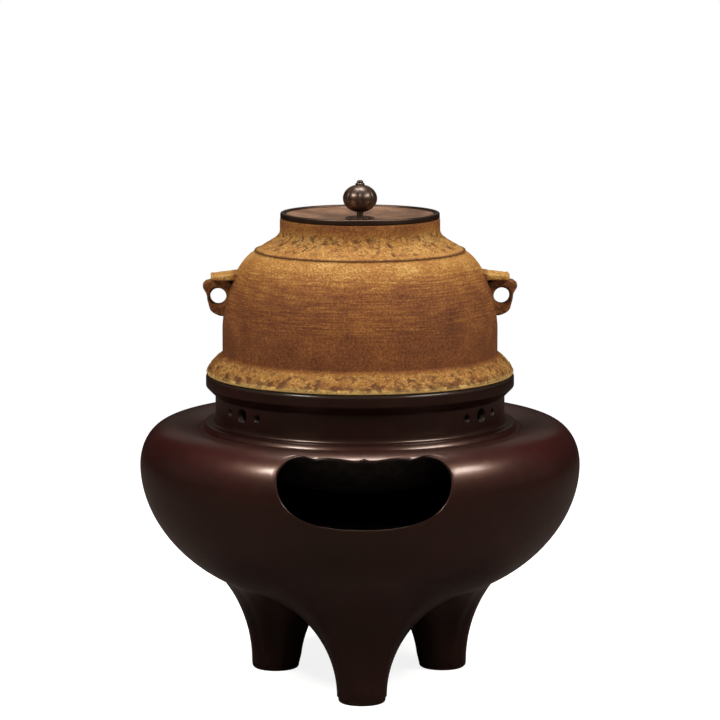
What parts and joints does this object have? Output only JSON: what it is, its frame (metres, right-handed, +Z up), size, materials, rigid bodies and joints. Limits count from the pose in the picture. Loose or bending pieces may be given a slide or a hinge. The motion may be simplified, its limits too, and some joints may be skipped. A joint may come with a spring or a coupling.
{
  "type": "tea brazier with kettle",
  "caption": "Round-shouldered bronze tea brazier on flared legs with a scalloped fire window, carrying an iron kettle seated on its mouth and a dished bronze lid with a lobed knob.",
  "frame": {"origin": "on the floor under the bowl's axis, midway between the three feet", "axes": "+Z up along the bowl's axis, the fire window faces -Y, the kettle's lugs lie along X"},
  "size_m": [0.329, 0.3261, 0.3776],
  "materials": {
    "furo_bronze": "cast bronze with a dark red-brown patina, semi-gloss",
    "lid_bronze": "cast bronze with a brown patina, satin",
    "kettle_iron": "sand-cast iron with an ochre rust-brown skin, matt",
    "clay": "unglazed fired clay",
    "ash": "sifted wood ash",
    "charcoal": "split oak charcoal, dull black"
  },
  "bodies": {
    "brazier": {"furo_bowl": "furo_bronze", "leg_front": "furo_bronze", "leg_left": "furo_bronze", "leg_right": "furo_bronze", "bottom_tile": "clay", "ash_bed": "ash", "charcoal_front": "charcoal", "charcoal_left": "charcoal", "charcoal_right": "charcoal"},
    "kettle": {"kettle_body": "kettle_iron", "lug_left": "kettle_iron", "lug_right": "kettle_iron", "sounding_plates": "kettle_iron"},
    "lid": {"lid_plate": "lid_bronze", "knob_seat": "lid_bronze", "knob_ball": "lid_bronze", "knob_pin": "lid_bronze", "pin_washer": "lid_bronze"}
  },
  "joints": [
    {"name": "kettle_lift", "type": "slide", "parent": "brazier", "child": "kettle", "axis": [0, 0, 1], "range_m": [0, 0.14]},
    {"name": "lid_lift", "type": "slide", "parent": "kettle", "child": "lid", "axis": [0, 0, 1], "range_m": [0, 0.06]}
  ]
}
